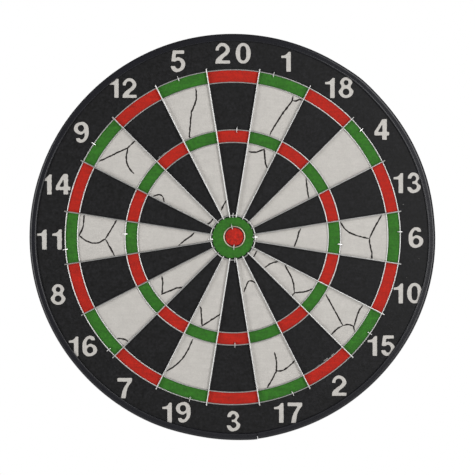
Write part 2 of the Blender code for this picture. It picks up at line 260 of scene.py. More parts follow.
class Nodes:
    """Builds one procedural material on object coordinates, in metres."""

    def __init__(self, name, color, roughness, metallic=0.0):
        self.material = bpy.data.materials.new(name)
        self.material.use_nodes = True
        self.tree = self.material.node_tree
        self.shader = self.tree.nodes["Principled BSDF"]
        self.color = color
        self.shader.inputs["Roughness"].default_value = roughness
        self.shader.inputs["Metallic"].default_value = metallic
        self.shader.inputs["Base Color"].default_value = (*color, 1)
        self.coordinates = self.tree.nodes.new("ShaderNodeTexCoord").outputs["Object"]
        self.heights = []

    def node(self, kind, **values):
        made = self.tree.nodes.new(kind)
        for key, value in values.items():
            setattr(made, key, value)
        return made

    def link(self, output, target):
        self.tree.links.new(output, target)

    def stretched(self, scale):
        """The coordinates scaled unevenly."""
        mapping = self.node("ShaderNodeMapping")
        mapping.inputs["Scale"].default_value = scale
        self.link(self.coordinates, mapping.inputs["Vector"])
        return mapping.outputs["Vector"]

    def noise(self, size, detail=2.0, vector=None, roughness=0.5):
        """A noise field from 0 to 1 whose features are about size metres."""
        made = self.node("ShaderNodeTexNoise")
        made.inputs["Scale"].default_value = 1 / size
        made.inputs["Detail"].default_value = detail
        made.inputs["Roughness"].default_value = roughness
        self.link(vector or self.coordinates, made.inputs["Vector"])
        return made.outputs["Fac"]

    def ranged(self, value, low, high, to_low, to_high):
        made = self.node("ShaderNodeMapRange")
        for name, number in zip(("From Min", "From Max", "To Min", "To Max"), (low, high, to_low, to_high)):
            made.inputs[name].default_value = number
        self.link(value, made.inputs["Value"])
        return made.outputs["Result"]

    def tint(self, fields, second=None):
        """Base colour times 1 plus or minus each field's share, as [(field, share)].

        second, as (field, low, high, colour), blends to another colour where its field is high.
        """
        total = None
        for field, share in fields:
            part = self.ranged(field, *NOISE_SPAN, 1 - share, 1 + share)
            if total is not None:
                product = self.node("ShaderNodeMath", operation="MULTIPLY")
                self.link(total, product.inputs[0])
                self.link(part, product.inputs[1])
                part = product.outputs[0]
            total = part
        scaled = self.node("ShaderNodeVectorMath", operation="SCALE")
        scaled.inputs[0].default_value = self.color
        if second:
            field, low, high, other = second
            mix = self.node("ShaderNodeMix", data_type="RGBA")
            mix.inputs["A"].default_value = (*self.color, 1)
            mix.inputs["B"].default_value = (*other, 1)
            self.link(self.ranged(field, low, high, 0, 1), mix.inputs["Factor"])
            self.link(mix.outputs["Result"], scaled.inputs[0])
        self.link(total, scaled.inputs["Scale"])
        self.link(scaled.outputs[0], self.shader.inputs["Base Color"])

    def rough_with(self, field, low, high):
        self.link(self.ranged(field, *NOISE_SPAN, low, high), self.shader.inputs["Roughness"])

    def bump(self, field, height, strength=1.0):
        """Raises the surface by up to height metres, on top of earlier bumps."""
        made = self.node("ShaderNodeBump")
        made.inputs["Strength"].default_value = strength
        made.inputs["Distance"].default_value = height
        self.link(field, made.inputs["Height"])
        if self.heights:
            self.link(self.heights[-1], made.inputs["Normal"])
        self.heights.append(made.outputs["Normal"])
        self.link(made.outputs["Normal"], self.shader.inputs["Normal"])


def flock(name, color, mottle, tufts, grain, streak, roughness=0.66, sheen=0.0):
    """Flocked print: matt, with a short nap in small tufts, cloudy patches and faint level streaks."""
    made = Nodes(name, color, roughness)
    clouds = made.noise(9 * MM, 3)
    clumps = made.noise(2.4 * MM, 1)
    nap = made.noise(0.9 * MM, 3, roughness=0.7)
    streaks = made.noise(2.2 * MM, 2, vector=made.stretched((0.14, 1, 1)))
    made.tint([(clouds, mottle), (clumps, tufts), (nap, grain), (streaks, streak)])
    made.rough_with(clumps, roughness - 0.07, roughness + 0.07)
    made.shader.inputs["Specular IOR Level"].default_value = 0.25
    made.shader.inputs["Sheen Weight"].default_value = sheen
    made.shader.inputs["Sheen Roughness"].default_value = 0.5
    made.bump(nap, 0.12 * MM, 0.6)
    made.bump(clumps, 0.12 * MM, 0.5)
    made.bump(clouds, 0.25 * MM, 0.3)
    return made.material


def steel(name, color, roughness, streak):
    """Bright drawn wire or plated steel, with faint streaks and dull spots."""
    made = Nodes(name, color, roughness, 1.0)
    dull = made.noise(4 * MM, 3)
    fine = made.noise(streak, 2)
    made.tint([(dull, 0.06), (fine, 0.04)])
    made.rough_with(dull, roughness - 0.05, roughness + 0.08)
    made.bump(fine, 0.01 * MM, 0.5)
    return made.material


def edge_plastic():
    """Satin navy-black extruded plastic, with long faint draw lines and small scuffs."""
    made = Nodes("edge_plastic_satin", (0.006, 0.006, 0.0095), 0.24)
    cloud = made.noise(25 * MM, 3)
    pebble = made.noise(0.7 * MM, 2)
    scuff = made.noise(5 * MM, 6, roughness=0.75)
    made.tint([(cloud, 0.12), (pebble, 0.05)], second=(scuff, 0.66, 0.78, (0.03, 0.03, 0.036)))
    made.rough_with(scuff, 0.19, 0.31)
    made.bump(pebble, 0.01 * MM, 0.3)
    made.bump(cloud, 0.1 * MM, 0.2)
    return made.material


def greyboard():
    """Rough grey card: cloudy, with pale and dark fibres in it."""
    made = Nodes("greyboard_card", (0.27, 0.245, 0.2), 0.92)
    cloud = made.noise(30 * MM, 4)
    fibres = made.noise(1.6 * MM, 4, vector=made.stretched((1, 1, 3.2)), roughness=0.75)
    flakes = made.noise(3.5 * MM, 3, vector=made.stretched((1.0, 1, 1.7)))
    specks = made.noise(2.0 * MM, 2)
    dark_specks = (specks, 0.67, 0.73, (0.1, 0.085, 0.065))
    made.tint([(cloud, 0.07), (fibres, 0.16), (flakes, 0.1)], second=dark_specks)
    made.bump(fibres, 0.1 * MM, 0.6)
    made.bump(flakes, 0.15 * MM, 0.4)
    made.bump(cloud, 0.5 * MM, 0.3)
    return made.material


def wound_paper():
    """The edges of the wound paper strip: brown rings round the board's axis."""
    made = Nodes("wound_paper_edges", (0.3, 0.2, 0.11), 0.9)
    flat = made.stretched((1, 0, 1))
    wave = made.node("ShaderNodeTexWave", wave_type="RINGS", rings_direction="SPHERICAL")
    wave.inputs["Scale"].default_value = 90
    wave.inputs["Distortion"].default_value = 1.5
    wave.inputs["Detail"].default_value = 2
    made.link(flat, wave.inputs["Vector"])
    made.tint([(wave.outputs["Fac"], 0.2), (made.noise(8 * MM, 3), 0.1)])
    made.bump(wave.outputs["Fac"], 0.15 * MM, 0.6)
    return made.material


def zinc():
    """Bright zinc plate with a faint yellow-blue cast."""
    made = Nodes("zinc_plate", (0.62, 0.62, 0.6), 0.34, 1.0)
    cast = made.noise(7 * MM, 3)
    spangle = made.noise(0.8 * MM, 2)
    made.tint([(spangle, 0.06)], second=(cast, 0.35, 0.7, (0.62, 0.58, 0.46)))
    made.rough_with(cast, 0.26, 0.42)
    made.bump(spangle, 0.015 * MM, 0.6)
    return made.material


IVORY = flock(
    "ivory_print", (0.543, 0.521, 0.49), mottle=0.04, tufts=0.02, grain=0.09, streak=0.035,
    roughness=0.85, sheen=0.05,
)
STRAY_IVORY = flock("ivory_rubbed_thin", (0.27, 0.26, 0.25), mottle=0.2, tufts=0.3, grain=0.3, streak=0)
BLACK = flock(
    "black_print", (0.0050, 0.0049, 0.0056), mottle=0.2, tufts=0.9, grain=0.7, streak=0.3, roughness=0.56,
)
RED = flock("red_print", (0.42, 0.0115, 0.0035), mottle=0.08, tufts=0.11, grain=0.2, streak=0.12)
BULL_RED = flock("bull_red_print", (0.44, 0.013, 0.005), mottle=0.16, tufts=0.34, grain=0.3, streak=0.1)
GREEN = flock("green_print", (0.026, 0.143, 0.0105), mottle=0.1, tufts=0.16, grain=0.24, streak=0.13)
CRACK = flock("crack_black", (0.010, 0.007, 0.006), mottle=0.2, tufts=0.2, grain=0.3, streak=0)
SPIDER_STEEL = steel("spider_wire_steel", (0.585, 0.58, 0.57), 0.31, 0.5 * MM)
BULL_STEEL = steel("bull_wire_steel", (0.62, 0.55, 0.44), 0.34, 0.5 * MM)
STAPLE_STEEL = steel("staple_wire_steel", (0.80, 0.79, 0.78), 0.24, 0.4 * MM)
PLASTIC = edge_plastic()
CARD = greyboard()
ZINC = zinc()


# ---------------------------------------------------------------- the printed face


GROUND_RADIUS = 203.5 * MM
GROUND_STEPS = 240
EDGE_STEP = 1.6 * MM
EDGE_ROUGHNESS = 0.10 * MM


def band_outline(inner, outer, angles, step):
    """The (x, z) outline of a piece of a ring between two radii."""
    points = [on_board(outer, a, 0) for a in angles] + [on_board(inner, a, 0) for a in reversed(angles)]
    return divided([(p.x, p.z) for p in points], step)


def field_outline(inner, outer, sector):
    """The (x, z) outline of a sector's field between two radii."""
    start = (sector - 0.5) * SECTOR
    steps = max(4, round(math.radians(SECTOR) * outer / EDGE_STEP))
    angles = [start + SECTOR * i / steps for i in range(steps + 1)]
    return band_outline(inner, outer, angles, EDGE_STEP)


def build_fields(name, material, front, bands):
    """One printed colour: a layer with a field for each (inner, outer, sector)."""
    shape = bmesh.new()
    for inner, outer, sector in bands:
        add_slab(shape, [rough(field_outline(inner, outer, sector), EDGE_ROUGHNESS, 3)], front)
    piece(name, mesh_from(name, shape), material)


def circle(radius, steps, centre=Vector()):
    points = (centre + on_board(radius, 360 * i / steps, 0) for i in range(steps))
    return [(p.x, p.z) for p in points]


BULL_GREEN_RADIUS = 21.0 * MM
BULL_GREEN_STEPS = 150
BULL_GREEN_ROUGHNESS = 0.8 * MM
BULL_RED_RADIUS = 9.0 * MM
BULL_RED_STEPS = 80
BULL_RED_ROUGHNESS = 0.35 * MM
BULL_SEAM = 0.7 * MM  # the gap round the bull's plug, which the wire hides
BULL_SEAM_STEPS = 64
# The single fields between the coloured rings, from an inner to an outer radius.
SINGLES = {
    "outer": (RADIUS["treble_outer_wire"], RADIUS["double_inner_wire"]),
    "inner": (RADIUS["outer_bull_wire"], RADIUS["treble_inner_wire"]),
}


def build_face():
    ground = bmesh.new()
    add_slab(ground, [circle(GROUND_RADIUS, GROUND_STEPS)], BLACK_TOP)
    piece("black_ground", mesh_from("black_ground", ground), BLACK)
    rings = (
        (RADIUS["double_inner_wire"], RADIUS["double_outer_wire"]),
        (RADIUS["treble_inner_wire"], RADIUS["treble_outer_wire"]),
    )
    pale, dark = range(1, len(NUMBERS), 2), range(0, len(NUMBERS), 2)
    build_fields("ivory_fields", IVORY, IVORY_TOP, [(*band, s) for band in SINGLES.values() for s in pale])
    build_fields("green_rings", GREEN, GREEN_TOP, [(*band, s) for band in rings for s in pale])
    build_fields("red_rings", RED, RED_TOP, [(*band, s) for band in rings for s in dark])
    bull = bmesh.new()
    outside = rough(circle(BULL_GREEN_RADIUS, BULL_GREEN_STEPS), BULL_GREEN_ROUGHNESS, 5)
    inside = circle(RADIUS["bullseye_wire"] - BULL_SEAM / 2, BULL_SEAM_STEPS, BULL_CENTRE)
    add_slab(bull, [outside, inside], GREEN_TOP)
    piece("outer_bull_green", mesh_from("outer_bull_green", bull), GREEN)
    red = bmesh.new()
    disc = circle(BULL_RED_RADIUS, BULL_RED_STEPS, BULL_CENTRE)
    add_slab(red, [rough(disc, BULL_RED_ROUGHNESS, 9)], RED_TOP)
    piece("bullseye_red", mesh_from("bullseye_red", red), BULL_RED)


# Cracks in the ivory print, as (number, field, line). A line's stops are read off, across the field
# from -1 at its anticlockwise edge to 1, and along it from 0 at its inner wire to 1 at its outer wire.
CRACKS = (
    (5, "outer", ((0.45, 0.97), (0.35, 0.75, S), (-0.05, 0.5), (-0.6, 0.05), (-0.55, 0))),
    (5, "inner", ((1, 0.22), (0.1, 0.15, S), (-0.6, 0.1))),
    (9, "outer", ((1, 0.63), (0.5, 0.64), (0, 0.76), (-0.7, 0.97))),
    (9, "outer", ((0.5, 0.64), (0, 0.5, S), (-0.25, 0.35, S), (-0.35, 0.2))),
    (9, "inner", ((-0.95, 0.93), (-0.6, 0.84, S), (-0.95, 0.75))),
    (9, "inner", ((-0.95, 0.1), (-0.3, 0.07, S), (0.95, 0.07))),
    (11, "outer", ((-0.05, 0.42), (-0.25, 0.6, S), (-0.15, 0.8, S), (0.1, 0.98))),
    (11, "outer", ((0.1, 0.97), (0.45, 0.9, S), (1, 0.9))),
    (11, "outer", ((-0.05, 0.42), (0.3, 0.33), (1, 0.2))),
    (11, "outer", ((-0.05, 0.42), (-1, 0.25))),
    (11, "inner", ((-1, 0.46), (-0.5, 0.38), (0.5, 0.25, S), (0.9, 0.23))),
    (16, "outer", ((-0.55, 0.97), (-0.75, 0.88, S), (-1, 0.84))),
    (16, "inner", ((0.85, 0.8), (0.3, 0.85, S), (-0.3, 0.94))),
    (16, "inner", ((-0.25, 0.95), (-0.5, 0.8), (-0.65, 0.73), (-1, 0.65))),
    (19, "outer", ((0.4, 0.03), (0.45, 0.35, S), (0.6, 0.6, S), (0.95, 0.9))),
    (19, "inner", ((-0.95, 0.76), (0.15, 0.98), (0.4, 0.87), (0.7, 0.76), (0.9, 0.74))),
    (17, "outer", ((0.6, 1), (0.3, 0.85), (0, 0.7), (-0.15, 0.5, S), (-0.2, 0.3))),
    (17, "outer", ((0, 0.7), (-0.25, 0.73, S), (-0.6, 0.7, S), (-1, 0.64))),
    (17, "inner", ((-1, 0.39), (-0.3, 0.33, S), (0.3, 0.38, S), (0.75, 0.46))),
    (15, "outer", ((0.2, 0.98), (0.05, 0.9), (0.1, 0.8, S), (0.3, 0.71))),
    (15, "outer", ((0.3, 0.71), (0.6, 0.66, S), (1, 0.65))),
    (15, "outer", ((0.3, 0.71), (0.1, 0.5), (-0.5, 0.03))),
    (15, "outer", ((-0.95, 0.82), (-0.55, 0.82, S), (0.05, 0.91))),
    (15, "inner", ((-0.4, 1), (0.1, 0.93, S), (0.65, 0.83), (0.95, 0.83))),
    (15, "inner", ((0.65, 0.83), (0, 0.71, S), (-0.65, 0.55), (-0.95, 0.49))),
    (15, "inner", ((-0.95, 0.4), (-0.3, 0.33, S), (0.85, 0.29))),
    (15, "inner", ((-0.95, 0.07), (0.85, 0.08))),
    (6, "outer", ((-0.9, 0.02), (-0.4, 0.13, S), (-0.15, 0.3, S), (0.05, 0.6))),
    (6, "outer", ((0.05, 0.61), (-0.35, 0.7, S), (-0.95, 0.9))),
    (6, "outer", ((0.05, 0.61), (0.35, 0.63, S), (0.7, 0.68), (1, 0.7))),
    (6, "inner", ((-0.85, 0.63), (-0.5, 0.6, S), (0, 0.58), (1, 0.54))),
    (4, "inner", ((-0.4, 0.99), (0.1, 0.93, S), (1, 0.86))),
    (1, "outer", ((0.55, 0.97), (0.6, 0.87), (0.4, 0.5, S), (0.2, 0.1), (0.2, 0.02))),
    (1, "outer", ((0.6, 0.87), (0.75, 0.9), (0.85, 0.96), (1, 0.97))),
    (1, "inner", ((-0.85, 0.89), (-0.3, 0.91, S), (0.15, 0.98), (0.4, 0.88), (0.65, 0.8, S), (1, 0.75))),
)
CRACK_HALF_WIDTH = 0.78 * MM
CRACK_STEP = 1.2 * MM
CRACK_WANDER = 0.26 * MM
CRACK_TIP = 0.45  # of a crack's width at its ends, and how much more at each step from them
CRACK_TIP_GROWTH = 0.25
CRACK_UNEVENNESS = 0.6
CRACK_GRAIN = 400  # noise features per metre


def crack_outline(number, field, stops, seed):
    """A crack's (x, z) outline: an uneven ribbon that narrows at both ends."""
    inner, outer = SINGLES[field]
    middle = NUMBERS.index(number) * SECTOR
    line = []
    for across, along, *_ in stops:
        point = on_board(inner + (outer - inner) * along, middle + across * SECTOR / 2, 0)
        line.append((point.x, point.z))
    line = smooth_line(line, [len(stop) == 3 for stop in stops], False, CRACK_STEP)
    line = rough(divided(line, CRACK_STEP, closed=False), CRACK_WANDER, seed)
    left, right = [], []
    for i, (x, z) in enumerate(line):
        a, b = line[max(i - 1, 0)], line[min(i + 1, len(line) - 1)]
        run = Vector((b[0] - a[0], b[1] - a[1])).normalized()
        taper = min(1, CRACK_TIP + CRACK_TIP_GROWTH * min(i, len(line) - 1 - i))
        grain = noise.noise(Vector((x * CRACK_GRAIN, z * CRACK_GRAIN, seed)))
        half = CRACK_HALF_WIDTH * taper * (1 + CRACK_UNEVENNESS * grain)
        left.append((x - run.y * half, z + run.x * half))
        right.append((x + run.y * half, z - run.x * half))
    return left + right[::-1]


def build_cracks():
    """Each crack is a hair further out than the last, so that no two share a plane where they meet."""
    shape = bmesh.new()
    for i, (number, field, stops) in enumerate(CRACKS):
        add_slab(shape, [crack_outline(number, field, stops, i)], CRACK_TOP - i * 0.001 * MM)
    piece("ivory_cracks", mesh_from("ivory_cracks", shape), CRACK)


# Ivory that strayed on to the black, as flecks (radius, angle, size) and as slivers beside a wire
# (inner radius, outer radius, first angle, last angle), in mm and degrees.
FLECKS = (
    (176.2, 79, 0.7), (190.5, 96.5, 0.5), (181.4, 103, 0.5), (163, 96, 0.5), (182.4, 127, 0.9),
    (175, 197, 0.5),
)
SLIVERS = (
    (156.2, 157.4, 138.9, 140.3), (155.7, 157.4, 141.9, 143.6), (156.6, 157.4, 143.8, 147.5),
    (156.9, 157.4, 149, 153), (109.3, 110.9, 317.2, 318.2), (109.3, 110.4, 318.8, 321.6),
)
FLECK_SIDES = 9
FLECK_ROUGHNESS = 0.2  # of its size
SLIVER_STEPS = 8
SLIVER_STEP = 0.5 * MM
SLIVER_ROUGHNESS = 0.25 * MM


def build_stray_ivory():
    shape = bmesh.new()
    for i, (radius, angle, size) in enumerate(FLECKS):
        outline = circle(size * MM / 2, FLECK_SIDES, on_board(radius * MM, angle, 0))
        add_slab(shape, [rough(outline, FLECK_ROUGHNESS * size * MM, i)], FLECK_TOP)
    for i, (inner, outer, first, last) in enumerate(SLIVERS):
        angles = [first + (last - first) * k / SLIVER_STEPS for k in range(SLIVER_STEPS + 1)]
        outline = band_outline(inner * MM, outer * MM, angles, SLIVER_STEP)
        add_slab(shape, [rough(outline, SLIVER_ROUGHNESS, i + 20)], FLECK_TOP)
    piece("stray_ivory", mesh_from("stray_ivory", shape), STRAY_IVORY)


# ---------------------------------------------------------------- the numbers


# Each digit's width, then its outlines as (x, z) or (x, z, S), in mm from its lower left corner.
NINE = (
    (2.3, 4.9), (3.0, 1.8, S), (8.0, 0, S), (14.0, 4.4, S), (15.6, 12.2, S), (13.8, 18.8, S), (8.0, 21.3, S),
    (0, 14.8, S), (6.8, 8.1, S), (11.3, 10.2), (10.7, 5.8, S), (7.9, 3.3, S), (6.2, 5.0),
)
NINE_HOLE = ((7.6, 18.0, S), (10.6, 14.7, S), (7.6, 11.3, S), (4.4, 14.7, S))


def half_turn(outline, width, height):
    return tuple((width - point[0], height - point[1], *point[2:]) for point in outline)


DIGITS = {
    "0": (15.9, (
        ((7.95, 21.2, S), (15.9, 10.6, S), (7.95, 0, S), (0, 10.6, S)),
        ((7.95, 17.9, S), (11.0, 10.6, S), (7.95, 3.3, S), (4.9, 10.6, S)),
    )),
    "1": (10.2, ((
        (5.3, 0), (10.2, 0), (10.2, 20.6), (7.5, 20.6), (5.9, 18.4, S), (3.7, 16.9, S), (0, 16.5), (0, 13.9),
        (5.3, 13.9),
    ),)),
    "2": (15.6, ((
        (0.3, 13.2), (1.3, 17.3, S), (7.9, 21.2, S), (15.4, 14.6, S), (12.9, 9.2, S), (9.3, 6.5, S),
        (6.8, 3.5), (15.6, 3.5), (15.6, 0), (0, 0), (0.9, 4.2, S), (5.0, 8.4, S), (9.3, 11.6, S),
        (11.0, 14.6, S), (7.7, 17.7, S), (4.5, 16.0, S), (4.0, 13.2),
    ),)),
    "3": (14.6, ((
        (0.5, 14.6), (1.9, 18.9, S), (7.0, 21.2, S), (13.2, 16.0, S), (10.9, 11.5, S), (14.6, 6.4, S),
        (7.2, 0, S), (1.5, 2.4, S), (0, 6.4), (4.2, 6.4), (7.1, 3.5, S), (10.3, 6.5, S), (8.3, 9.3, S),
        (5.4, 9.3), (5.4, 12.2), (7.8, 12.4, S), (9.4, 15.2, S), (6.9, 17.8, S), (4.3, 14.6),
    ),)),
    "4": (15.5, (
        ((8.1, 0), (13.1, 0), (13.1, 4.5), (15.5, 4.5), (15.5, 8.3), (13.1, 8.3), (13.1, 21.2), (8.2, 21.2),
         (0, 8.5), (0, 4.5), (8.1, 4.5)),
        ((8.3, 15.4), (8.3, 8.3), (3.9, 8.3)),
    )),
    "5": (14.6, ((
        (2.1, 21.2), (13.6, 21.2), (13.6, 17.6), (5.6, 17.6), (5.0, 13.9), (7.8, 14.8, S), (14.6, 7.8, S),
        (7.0, 0, S), (1.4, 2.4, S), (0, 6.0), (4.3, 6.3), (7.2, 3.5, S), (10.3, 7.6, S), (7.4, 11.3, S),
        (4.6, 9.9), (0.6, 10.4),
    ),)),
    "6": (15.6, (half_turn(NINE, 15.6, 21.3), half_turn(NINE_HOLE, 15.6, 21.3))),
    "7": (15.5, ((
        (0, 21.0), (15.5, 21.0), (15.5, 17.6), (11.0, 10.8, S), (8.8, 0), (3.6, 0), (5.9, 9.0, S),
        (10.6, 17.0), (0, 17.0),
    ),)),
    "8": (15.6, (
        ((7.8, 21.3, S), (14.4, 16.2, S), (12.6, 11.7, S), (15.6, 6.4, S), (7.8, 0, S), (0, 6.4, S),
         (3.0, 11.7, S), (1.2, 16.2, S)),
        ((7.8, 18.3, S), (10.2, 15.7, S), (7.8, 13.2, S), (5.4, 15.7, S)),
        ((7.8, 9.6, S), (11.1, 6.3, S), (7.8, 3.1, S), (4.5, 6.3, S)),
    )),
    "9": (15.6, (NINE, NINE_HOLE)),
}
DIGIT_HEIGHT = 21.2
DIGIT_GAP = 3.9
WIDE_GAP = 5.5
WIDE_NUMBERS = (20, 11)
DIGIT_SQUEEZE = 0.98
DIGIT_THINNING = 0.2
DIGIT_STEP = 0.8
DIGIT_ROUGHNESS = 0.15 * MM
WORN_NUMBERS = (14, 11)
WORN_ROUGHNESS = 0.38 * MM
NUMBER_CIRCLE = 186.6 * MM
# How far, to the nearest half mm to the right and up, each number is printed from its place on the circle.
NUMBER_SHIFTS = {
    1: (-4, 1), 18: (-2, 1), 13: (-0.5, -2), 6: (-0.5, 0), 10: (0.5, 1), 15: (0, -0.5), 2: (-1.5, 0),
    17: (-1.5, -1), 3: (0.5, -0.5), 19: (0, -0.5), 7: (-0.5, -2), 16: (-1.5, -0.5), 11: (0.5, -1.5),
    14: (-1.5, -3.5), 9: (-2.5, -3), 12: (-1.5, 0.5), 5: (2, 1),
}
NUMBER_SIZES = {5: 1.05, 12: 0.95}  # the two that are printed larger or smaller than the rest


def signed_area(points):
    following = points[1:] + points[:1]
    return sum(x * z2 - x2 * z for (x, z), (x2, z2) in zip(points, following)) / 2


def softened(points, inset):
    """Rounds an outline's corners a little and moves it in by inset, or out where that is negative."""
    count = len(points)
    side = math.copysign(inset, signed_area(points)) * (1 if inset > 0 else -1)
    moved = []
    for i, (x, z) in enumerate(points):
        (x0, z0), (x1, z1) = points[i - 1], points[(i + 1) % count]
        run = Vector((x1 - x0, z1 - z0)).normalized()
        middle = ((x0 + 2 * x + x1) / 4, (z0 + 2 * z + z1) / 4)
        moved.append((middle[0] - run.y * side, middle[1] + run.x * side))
    return moved


def number_loops(number):
    """The number's outlines in mm, centred on its own middle. Each digit's first outline is its outside."""
    gap = WIDE_GAP if number in WIDE_NUMBERS else DIGIT_GAP
    digits = [DIGITS[digit] for digit in str(number)]
    x = -(sum(width for width, _ in digits) + gap * (len(digits) - 1)) / 2
    for width, outlines in digits:
        for i, outline in enumerate(outlines):
            points = [(point[0] + x, point[1] - DIGIT_HEIGHT / 2) for point in outline]
            line = smooth_line(points, [len(point) == 3 for point in outline], True, DIGIT_STEP)
            yield softened(divided(line, DIGIT_STEP), DIGIT_THINNING if i == 0 else -DIGIT_THINNING)
        x += width + gap


def build_numbers():
    """The numbers stand upright all round the board. One that reaches the rim runs under its lip."""
    for i, number in enumerate(NUMBERS):
        roughness = WORN_ROUGHNESS if number in WORN_NUMBERS else DIGIT_ROUGHNESS
        right, up = NUMBER_SHIFTS.get(number, (0, 0))
        middle = on_board(NUMBER_CIRCLE, i * SECTOR, 0) + Vector((right, 0, up)) * MM
        scale = NUMBER_SIZES.get(number, 1) * MM
        outlines = []
        for line in number_loops(number):
            placed = [(middle.x + x * DIGIT_SQUEEZE * scale, middle.z + z * scale) for x, z in line]
            outlines.append(rough(placed, roughness, i))
        shape = bmesh.new()
        add_slab(shape, outlines, IVORY_TOP)
        piece(f"number_{number}", mesh_from(f"number_{number}", shape), IVORY)


# ---------------------------------------------------------------- the spider and its staples


RING_WAVER = 0.22 * MM
RING_STEP = 3.0 * MM
RING_FEWEST_STEPS = 64
DIVIDER_WAVER = 0.25 * MM
DIVIDER_OVERHANG_IN = 1.9 * MM
DIVIDER_OVERHANG_OUT = 3.0 * MM
DIVIDER_CHAMFER = 0.25 * MM
DIVIDER_STEPS = 24
WAVE_PITCH = 18.0  # noise features per metre of wire


def waver(point, size, seed):
    """A small smooth sideways shift of a wire at a point."""
    return size * noise.noise(point * WAVE_PITCH + Vector((seed * 3.7, 0, seed * 1.3)))


def build_ring_wires():
    for seed, (node, (centre, radius)) in enumerate(RINGS.items()):
        steps = max(RING_FEWEST_STEPS, round(math.tau * radius / RING_STEP))
        path = []
        for i in range(steps):
            angle = 360 * i / steps
            out = on_board(1, angle, 0)
            at = centre + out * radius
            path.append(at + out * waver(at, RING_WAVER, seed))
        mesh = tube(f"{node}_drawn", path, round_wire(RING_WIRE), closed=True)
        material = BULL_STEEL if node == "bullseye_wire" else SPIDER_STEEL
        piece(f"{node}_drawn", mesh, material, (node,))


def build_divider_wires():
    """Straight wires, each a little bent by hand."""
    for i, number in enumerate(NUMBERS):
        node = f"divider_wire_{number}_{NUMBERS[(i + 1) % len(NUMBERS)]}"
        low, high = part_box(node)
        level = (low.y + high.y) / 2
        angle = (i + 0.5) * SECTOR
        inner = RADIUS["outer_bull_wire"] - DIVIDER_OVERHANG_IN
        outer = RADIUS["double_outer_wire"] + DIVIDER_OVERHANG_OUT
        across = on_board(1, angle + 90, 0)
        stops = [inner, inner + DIVIDER_CHAMFER]
        stops += [inner + (outer - inner) * k / DIVIDER_STEPS for k in range(1, DIVIDER_STEPS)]
        stops += [outer - DIVIDER_CHAMFER, outer]
        path = []
        for radius in stops:
            at = on_board(radius, angle, level)
            path.append(at + across * waver(at, DIVIDER_WAVER, i))
        mesh = tube(f"{node}_drawn", path, round_wire(DIVIDER_WIRE))
        piece(f"{node}_drawn", mesh, SPIDER_STEEL, (node,))


STAPLE_HALF_SPAN = 2.4 * MM
STAPLE_CORNER = 0.55 * MM
STAPLE_HALF_WIDTH = 0.52 * MM
STAPLE_HALF_THICKNESS = 0.4 * MM
STAPLE_ROUNDING = 0.18 * MM
STAPLE_TIP = 0.3 * MM
STAPLE_TWIST = math.radians(9)
STAPLE_SCATTER = 900  # noise features per metre, so that no two neighbours twist alike
# Which way each staple's crown faces, in degrees to the right and up. None was driven quite square.
STAPLE_FACINGS = {
    "double": (
        (-5, -13), (17, 6), (5, -10), (2, -12), (-2, -10), (-5, -11), (-6, -10), (17, 6), (17, 7), (6, -5),
    ),
    "treble": ((6, -5), (16, 8), (-6, -9), (17, 6)),
    "outer_bull": ((-6, -9), (11, 0), (-5, -10), (12, 1)),
    "bullseye": ((-7, -11), (-6, -12)),
}


def flat_wire():
    """The section of a staple's flattened wire, as (across, up) points."""
    across = STAPLE_HALF_WIDTH - STAPLE_ROUNDING
    up = STAPLE_HALF_THICKNESS - STAPLE_ROUNDING
    corners = ((across, up, 0), (-across, up, 90), (-across, -up, 180), (across, -up, 270))
    return [point for x, y, start in corners for point in arc((x, y), STAPLE_ROUNDING, start, 90, 3)]


def staple_path(leg):
    """A staple's centre line round its crown's middle: the crown along Z and the legs along +Y."""
    corner = (STAPLE_HALF_SPAN - STAPLE_CORNER, STAPLE_CORNER)
    half = [(leg, STAPLE_HALF_SPAN), (leg - STAPLE_TIP, STAPLE_HALF_SPAN)]
    half += [(y, z) for z, y in arc(corner, STAPLE_CORNER, 0, -90, 6)]
    return [Vector((0, y, -z)) for y, z in half] + [Vector((0, y, z)) for y, z in reversed(half)]


def build_staples():
    """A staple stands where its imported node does, and lies along the line to its ring's centre."""
    for ring, facings in STAPLE_FACINGS.items():
        for i, (right, up) in enumerate(facings):
            node = f"{ring}_staple_{i + 1:02}"
            low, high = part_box(node)
            centre = BULL_CENTRE if ring == "bullseye" else Vector()
            spot = (low + high) / 2
            spot.y = low.y + STAPLE_WIRE
            angle = math.atan2(spot.x - centre.x, spot.z - centre.z)
            twist = STAPLE_TWIST * noise.noise(spot * STAPLE_SCATTER)
            mesh = tube(f"{node}_wire", staple_path(high.y - spot.y), flat_wire(), Vector((1, 0, 0)))
            turned = Matrix.Rotation(math.radians(right), 4, "Z")
            tilted = Matrix.Rotation(-math.radians(up), 4, "X")
            matrix = Matrix.Translation(spot) @ turned @ tilted @ Matrix.Rotation(angle + twist, 4, "Y")
            piece(f"{node}_wire", mesh, STAPLE_STEEL, (node,), matrix=matrix)


# ---------------------------------------------------------------- the edge strip


STRIP_LOW, STRIP_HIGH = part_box("edge_strip")
STRIP_OUTER = STRIP_HIGH.x
STRIP_FRONT = STRIP_LOW.y
STRIP_LIP = 1.5 * MM
STRIP_LIP_WIDTH = 7.2 * MM
STRIP_WALL = 1.6 * MM
STRIP_CORNER = 3.0 * MM
STRIP_EDGE = 0.45 * MM
STRIP_BEAD = 0.85 * MM
STRIP_BEAD_SWEEP = 125.0
STRIP_FRONT_CORNER = 2.7 * MM
STRIP_MARGIN = 0.15 * MM  # of the flat, next to each of its curves
SEAM_ANGLE = 173.0
SEAM_GAP = 0.5 * MM
SEAM_LIFT = {"left": 1.2 * MM, "right": 0.7 * MM}
SEAM_SPREAD = 5.0
STRIP_SLACK = 0.3 * MM
STRIP_STEPS = 360
